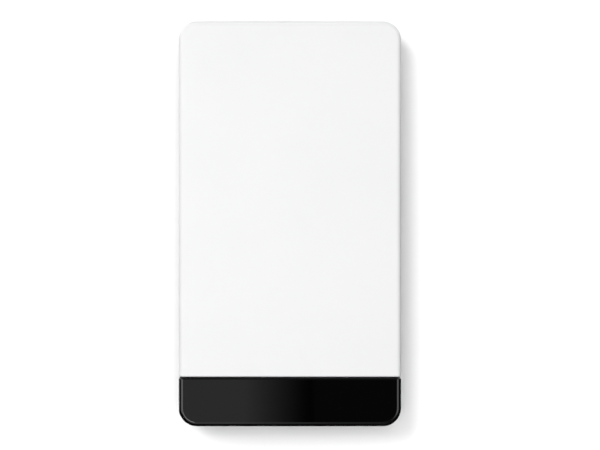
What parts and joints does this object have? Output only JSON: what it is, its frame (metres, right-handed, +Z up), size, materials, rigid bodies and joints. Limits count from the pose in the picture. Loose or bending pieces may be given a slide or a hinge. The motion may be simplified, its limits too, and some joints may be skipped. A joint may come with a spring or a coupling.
{
  "type": "video doorbell",
  "caption": "Slim battery video doorbell with a plain white front cover, a gloss black call bar at its foot, and a wall plate that it hooks onto.",
  "frame": {"origin": "centre of the wall face", "axes": "+X to the viewer's right, +Y into the wall, +Z up. The front faces -Y."},
  "size_m": [0.07, 0.027, 0.1274],
  "materials": {
    "wall_plate": "black glass-filled nylon, fine moulded texture",
    "rear_housing": "black moulded ABS, fine texture",
    "housing_gasket": "silicone",
    "front_frame": "black moulded ABS",
    "frame_screws": "zinc-plated steel",
    "security_screw": "stainless steel, star recess",
    "vent_membrane": "expanded PTFE",
    "terminal_block": "black nylon",
    "terminal_pins": "plated brass",
    "terminal_clamps": "brass",
    "terminal_screws": "nickel-plated steel",
    "main_board": "green solder mask over glass epoxy",
    "board_screws": "zinc-plated steel",
    "processor_shield": "tinned steel",
    "processor": "black epoxy package",
    "board_parts": "black and tan packages",
    "status_leds": "clear epoxy",
    "light_guide": "diffusing polycarbonate",
    "light_sensor": "dark clear epoxy",
    "ir_leds": "dark tinted epoxy",
    "camera_board": "solder mask over glass epoxy",
    "image_sensor": "cover glass over silicon",
    "camera_holder": "black LCP",
    "lens_barrel": "black threaded barrel",
    "lens_elements": "coated glass",
    "front_lens": "coated glass",
    "camera_hood": "silicone",
    "camera_ribbon": "amber polyimide flex",
    "microphone": "metal can",
    "microphone_boot": "silicone",
    "speaker_basket": "black ABS",
    "speaker_magnet": "plated steel over magnet",
    "speaker_cone": "coated paper",
    "speaker_gasket": "foam",
    "speaker_mesh": "woven acoustic mesh",
    "antenna_board": "printed antenna",
    "cover_sockets": "silicone",
    "battery_contacts": "gold-plated spring pins",
    "call_switch": "switch body",
    "call_switch_dome": "snap dome",
    "setup_switch": "switch body",
    "setup_switch_dome": "snap dome",
    "bar_pads": "silicone",
    "front_cover": "satin white polycarbonate",
    "call_bar": "piano-black smoked polycarbonate",
    "call_plunger": "acetal",
    "setup_button": "orange acetal",
    "pack_tray": "black ABS",
    "pack_lid": "black ABS",
    "pack_contacts": "gold-plated copper",
    "protection_board": "solder mask over glass epoxy",
    "battery_cell": "aluminium-laminate pouch",
    "pack_end_cap": "black ABS",
    "pack_seal": "silicone"
  },
  "bodies": {
    "wall_mount": {"wall_plate": "wall_plate"},
    "housing": {"antenna_board": "antenna_board", "bar_pads": "bar_pads", "battery_contacts": "battery_contacts", "board_parts": "board_parts", "board_screws": "board_screws", "call_switch": "call_switch", "call_switch_dome": "call_switch_dome", "camera_board": "camera_board", "camera_holder": "camera_holder", "camera_hood": "camera_hood", "camera_ribbon": "camera_ribbon", "cover_sockets": "cover_sockets", "frame_screws": "frame_screws", "front_frame": "front_frame", "front_lens": "front_lens", "housing_gasket": "housing_gasket", "image_sensor": "image_sensor", "ir_leds": "ir_leds", "lens_barrel": "lens_barrel", "lens_elements": "lens_elements", "light_guide": "light_guide", "light_sensor": "light_sensor", "main_board": "main_board", "microphone": "microphone", "microphone_boot": "microphone_boot", "processor": "processor", "processor_shield": "processor_shield", "rear_housing": "rear_housing", "security_screw": "security_screw", "setup_switch": "setup_switch", "setup_switch_dome": "setup_switch_dome", "speaker_basket": "speaker_basket", "speaker_cone": "speaker_cone", "speaker_gasket": "speaker_gasket", "speaker_magnet": "speaker_magnet", "speaker_mesh": "speaker_mesh", "status_leds": "status_leds", "terminal_block": "terminal_block", "terminal_clamps": "terminal_clamps", "terminal_pins": "terminal_pins", "terminal_screws": "terminal_screws", "vent_membrane": "vent_membrane"},
    "cover": {"front_cover": "front_cover"},
    "bar": {"call_bar": "call_bar"},
    "plunger": {"call_plunger": "call_plunger"},
    "setup_key": {"setup_button": "setup_button"},
    "battery_pack": {"pack_tray": "pack_tray", "pack_lid": "pack_lid", "pack_contacts": "pack_contacts", "protection_board": "protection_board", "battery_cell": "battery_cell", "pack_end_cap": "pack_end_cap", "pack_seal": "pack_seal"}
  },
  "joints": [
    {"name": "housing_lift", "type": "slide", "parent": "wall_mount", "child": "housing", "axis": [0, 0, 1], "range_m": [0, 0.008]},
    {"name": "cover_pull", "type": "slide", "parent": "housing", "child": "cover", "axis": [0, -1, 0], "range_m": [0, 0.04]},
    {"name": "call_bar_press", "type": "hinge", "parent": "housing", "child": "bar", "pos_m": [0, -0.0195, -0.0503], "axis": [1, 0, 0], "range_deg": [0, 2.5], "stiffness_Nm_per_rad": 0.5, "springref_deg": -2.29, "deforming": ["bar_pads"]},
    {"name": "plunger_press", "type": "slide", "parent": "housing", "child": "plunger", "axis": [0, 1, 0], "range_m": [0, 0.0003], "deforming": ["call_switch_dome"]},
    {"name": "setup_press", "type": "slide", "parent": "housing", "child": "setup_key", "axis": [0, 1, 0], "range_m": [0, 0.0004], "stiffness_N_per_m": 4000, "springref_m": -0.0002, "deforming": ["setup_switch_dome"]},
    {"name": "battery_slide", "type": "slide", "parent": "housing", "child": "battery_pack", "axis": [0, 0, -1], "range_m": [0, 0.095]}
  ],
  "couplings": [
    {"joint": "plunger_press", "follows": "call_bar_press", "m_per_rad": 0.0067}
  ]
}
